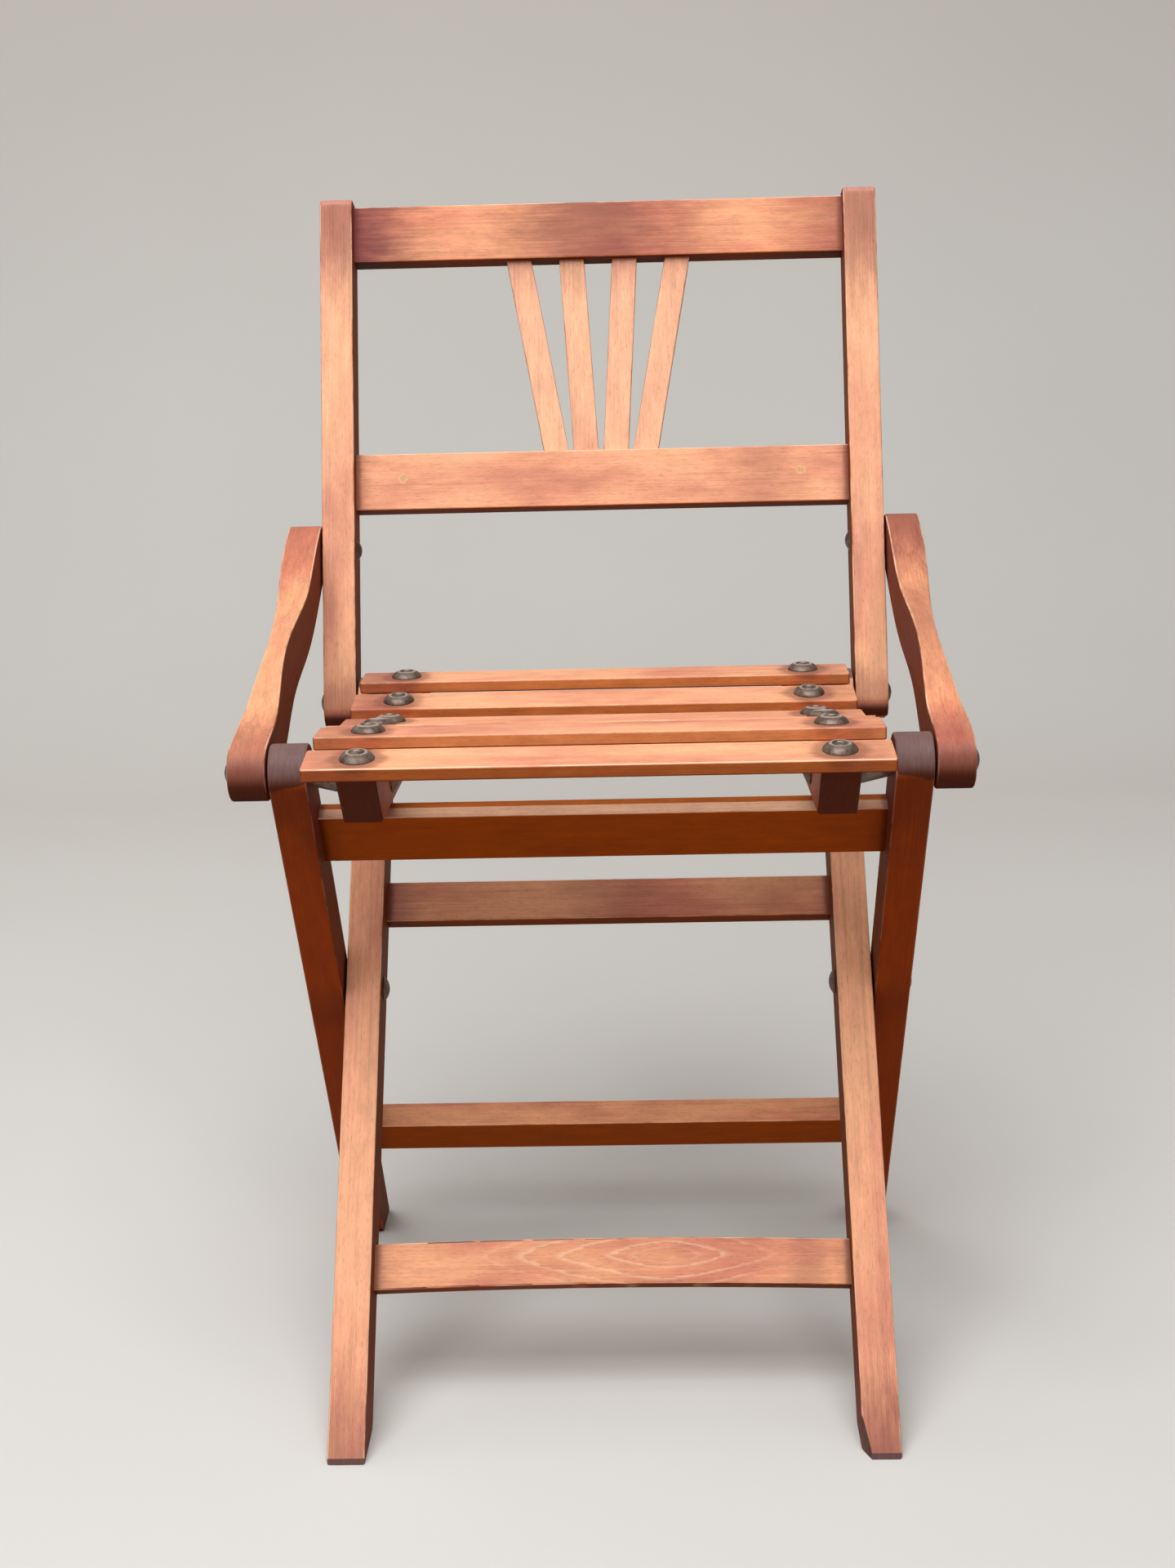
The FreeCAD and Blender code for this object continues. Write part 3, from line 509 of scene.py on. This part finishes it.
def dress_rail(number, node, post, turn, pale, marks):
    centre = middle(node)
    deep_middle = centre.y * math.cos(turn) - centre.z * math.sin(turn)
    dress(node, beech(
        node + "_wood", turn, "X", 11 + number, pale=pale, deep=SHADED_AMBER,
        pools=rail_pools(node, marks), seam=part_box(post + "_right")[0].x,
        shaded_rear=deep_middle + REAR_SHADE if node == "front_rail" else None,
        figure=flame_figure if node == "lower_stretcher" else None))


def dress_slat(number):
    """One seat slat. The front one has the most worn and highlit edges, and its upright front face is
    darkened with painted shade.
    """
    slat = f"seat_slat_{number}"
    rivet = middle(f"seat_rivet_{number}_right")
    rivet.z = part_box(slat)[1].z
    foremost = number == 1
    dress(slat, beech(
        f"slat_wood_{number}", 0.0, "X", 20 + number, pale=0.08,
        front=-0.35 if foremost else 0.03, wear_and_highlight_amount=0.9 if foremost else 0.62,
        cut_ends=(0.5, 0.9), end_colour=STAIN_POOL, rivet=rivet,
        pools=rail_pools(slat, ((-0.9, 0.2, 0.35 + 0.05 * number), (0.88, 0.2, 0.4)))))


def dress_splat(number):
    splat = f"back_splat_{number}"
    top = reach(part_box(splat)[1], STILE_LEAN)
    dress(splat, beech(
        f"splat_wood_{number}", STILE_LEAN, "Z", 30 + number, pale=0.45, pools=[(top, 0.03, 0.4)]))


SLATS = 6
SPLATS = 4
STEEL_PIECES = ("rivet", "rod", "spacer")


def dress_chair():
    for number, side in enumerate(("left", "right")):
        dress_side(number, side)
    for number, (node, look) in enumerate(RAILS.items()):
        dress_rail(number, node, *look)
    for number in range(1, SLATS + 1):
        dress_slat(number)
    for number in range(1, SPLATS + 1):
        dress_splat(number)
    tarnished = old_steel("tarnished_steel")
    for node in frame["nodes"]:
        if any(word in node for word in STEEL_PIECES):
            dress(node, tarnished)
        if "plug" in node:
            dress(node, filled_hole(node))


# Pale sweep of floor and backdrop, in metres: the colour it shows, and the colour it throws on the chair
PALE_FLOOR = rgb(214, 213, 209)
WARM_BOUNCE = rgb(150, 112, 84)
FLOOR_HALF = 4.0
FLOOR_FRONT = -3.0
SWEEP_START = 1.1
SWEEP_RADIUS = 0.9
BACK_HEIGHT = 3.5
SWEEP_STEPS = 24


def sweep():
    """One smooth sheet: level under the chair, then turned up behind it."""
    line = [(FLOOR_FRONT, 0.0), (SWEEP_START, 0.0)]
    for step in range(1, SWEEP_STEPS + 1):
        turn = math.pi / 2 * step / SWEEP_STEPS
        line.append((SWEEP_START + SWEEP_RADIUS * math.sin(turn), SWEEP_RADIUS * (1 - math.cos(turn))))
    line.append((SWEEP_START + SWEEP_RADIUS, BACK_HEIGHT))
    points = [(side, y, z) for y, z in line for side in (-FLOOR_HALF, FLOOR_HALF)]
    faces = [(2 * i, 2 * i + 1, 2 * i + 3, 2 * i + 2) for i in range(len(line) - 1)]
    mesh = bpy.data.meshes.new("pale_floor")
    mesh.from_pydata(points, [], faces)
    for face in mesh.polygons:
        face.use_smooth = True
    floor = bpy.data.objects.new("pale_floor", mesh)
    bpy.context.scene.collection.objects.link(floor)
    pale = Finish("pale_floor")
    cloud = pale.noise(pale.spot_on_piece(), 3.0, 3.0, 0.5)
    seen = 0.0
    for kind in ("Is Camera Ray", "Is Glossy Ray", "Is Transmission Ray"):
        seen = pale.add("LightPath", {}, {}, kind) + seen
    colour = pale.shade(PALE_FLOOR, 0.97 + cloud * 0.06)
    mesh.materials.append(pale.surface({
        "Base Color": pale.mix(WARM_BOUNCE, colour, seen), "Roughness": 0.85}))


# Each lamp: its place, what it looks at and its size, in metres, and its power in watts
LAMPS = {
    "sky_light": ((-0.3, -1.3, 2.6), (0, 0, 0.3), 2.8, 96),
    "fill_light": ((1.8, -1.6, 1.3), (0, 0, 0.3), 1.8, 4),
    "rear_light": ((-1.2, 0.9, 1.9), (0, 0.1, 0.3), 1.2, 6),
}
# Light that the plain room gives, and how bright it looks
ROOM_LIGHT = 0.2
ROOM_SEEN = 0.7


def area_light(name, place, target, size, power):
    lamp = bpy.data.lights.new(name, "AREA")
    lamp.shape = "DISK"
    lamp.size = size
    lamp.energy = power
    holder = bpy.data.objects.new(name, lamp)
    holder.location = place
    holder.rotation_mode = "QUATERNION"
    holder.rotation_quaternion = (Vector(target) - Vector(place)).to_track_quat("-Z", "Y")
    bpy.context.scene.collection.objects.link(holder)


def studio():
    sweep()
    for name, lamp in LAMPS.items():
        area_light(name, *lamp)
    world = bpy.data.worlds.new("plain_room")
    room = Nodes(world)
    seen = room.add("LightPath", {}, {}, "Is Camera Ray")
    backing = room.add("Background", {}, {
        "Color": rgb(250, 250, 247), "Strength": seen * (ROOM_SEEN - ROOM_LIGHT) + ROOM_LIGHT})
    room.add("OutputWorld", {}, {"Surface": backing})
    bpy.context.scene.world = world
    bpy.context.scene.view_settings.view_transform = "Standard"


def viewpoint():
    data = bpy.data.cameras.new("viewpoint")
    data.sensor_fit = "VERTICAL"
    data.sensor_height = SENSOR
    data.lens = FOCAL_PIXELS * SENSOR / PICTURE[1]
    camera = bpy.data.objects.new("viewpoint", data)
    turned = (Matrix.Rotation(math.radians(EYE_TURN), 4, "Z")
              @ Matrix.Rotation(math.radians(90 - EYE_DROP), 4, "X")
              @ Matrix.Rotation(math.radians(EYE_TILT), 4, "Z"))
    camera.matrix_world = Matrix.Translation(EYE) @ turned
    bpy.context.scene.collection.objects.link(camera)
    bpy.context.scene.camera = camera


dress_chair()
studio()
viewpoint()
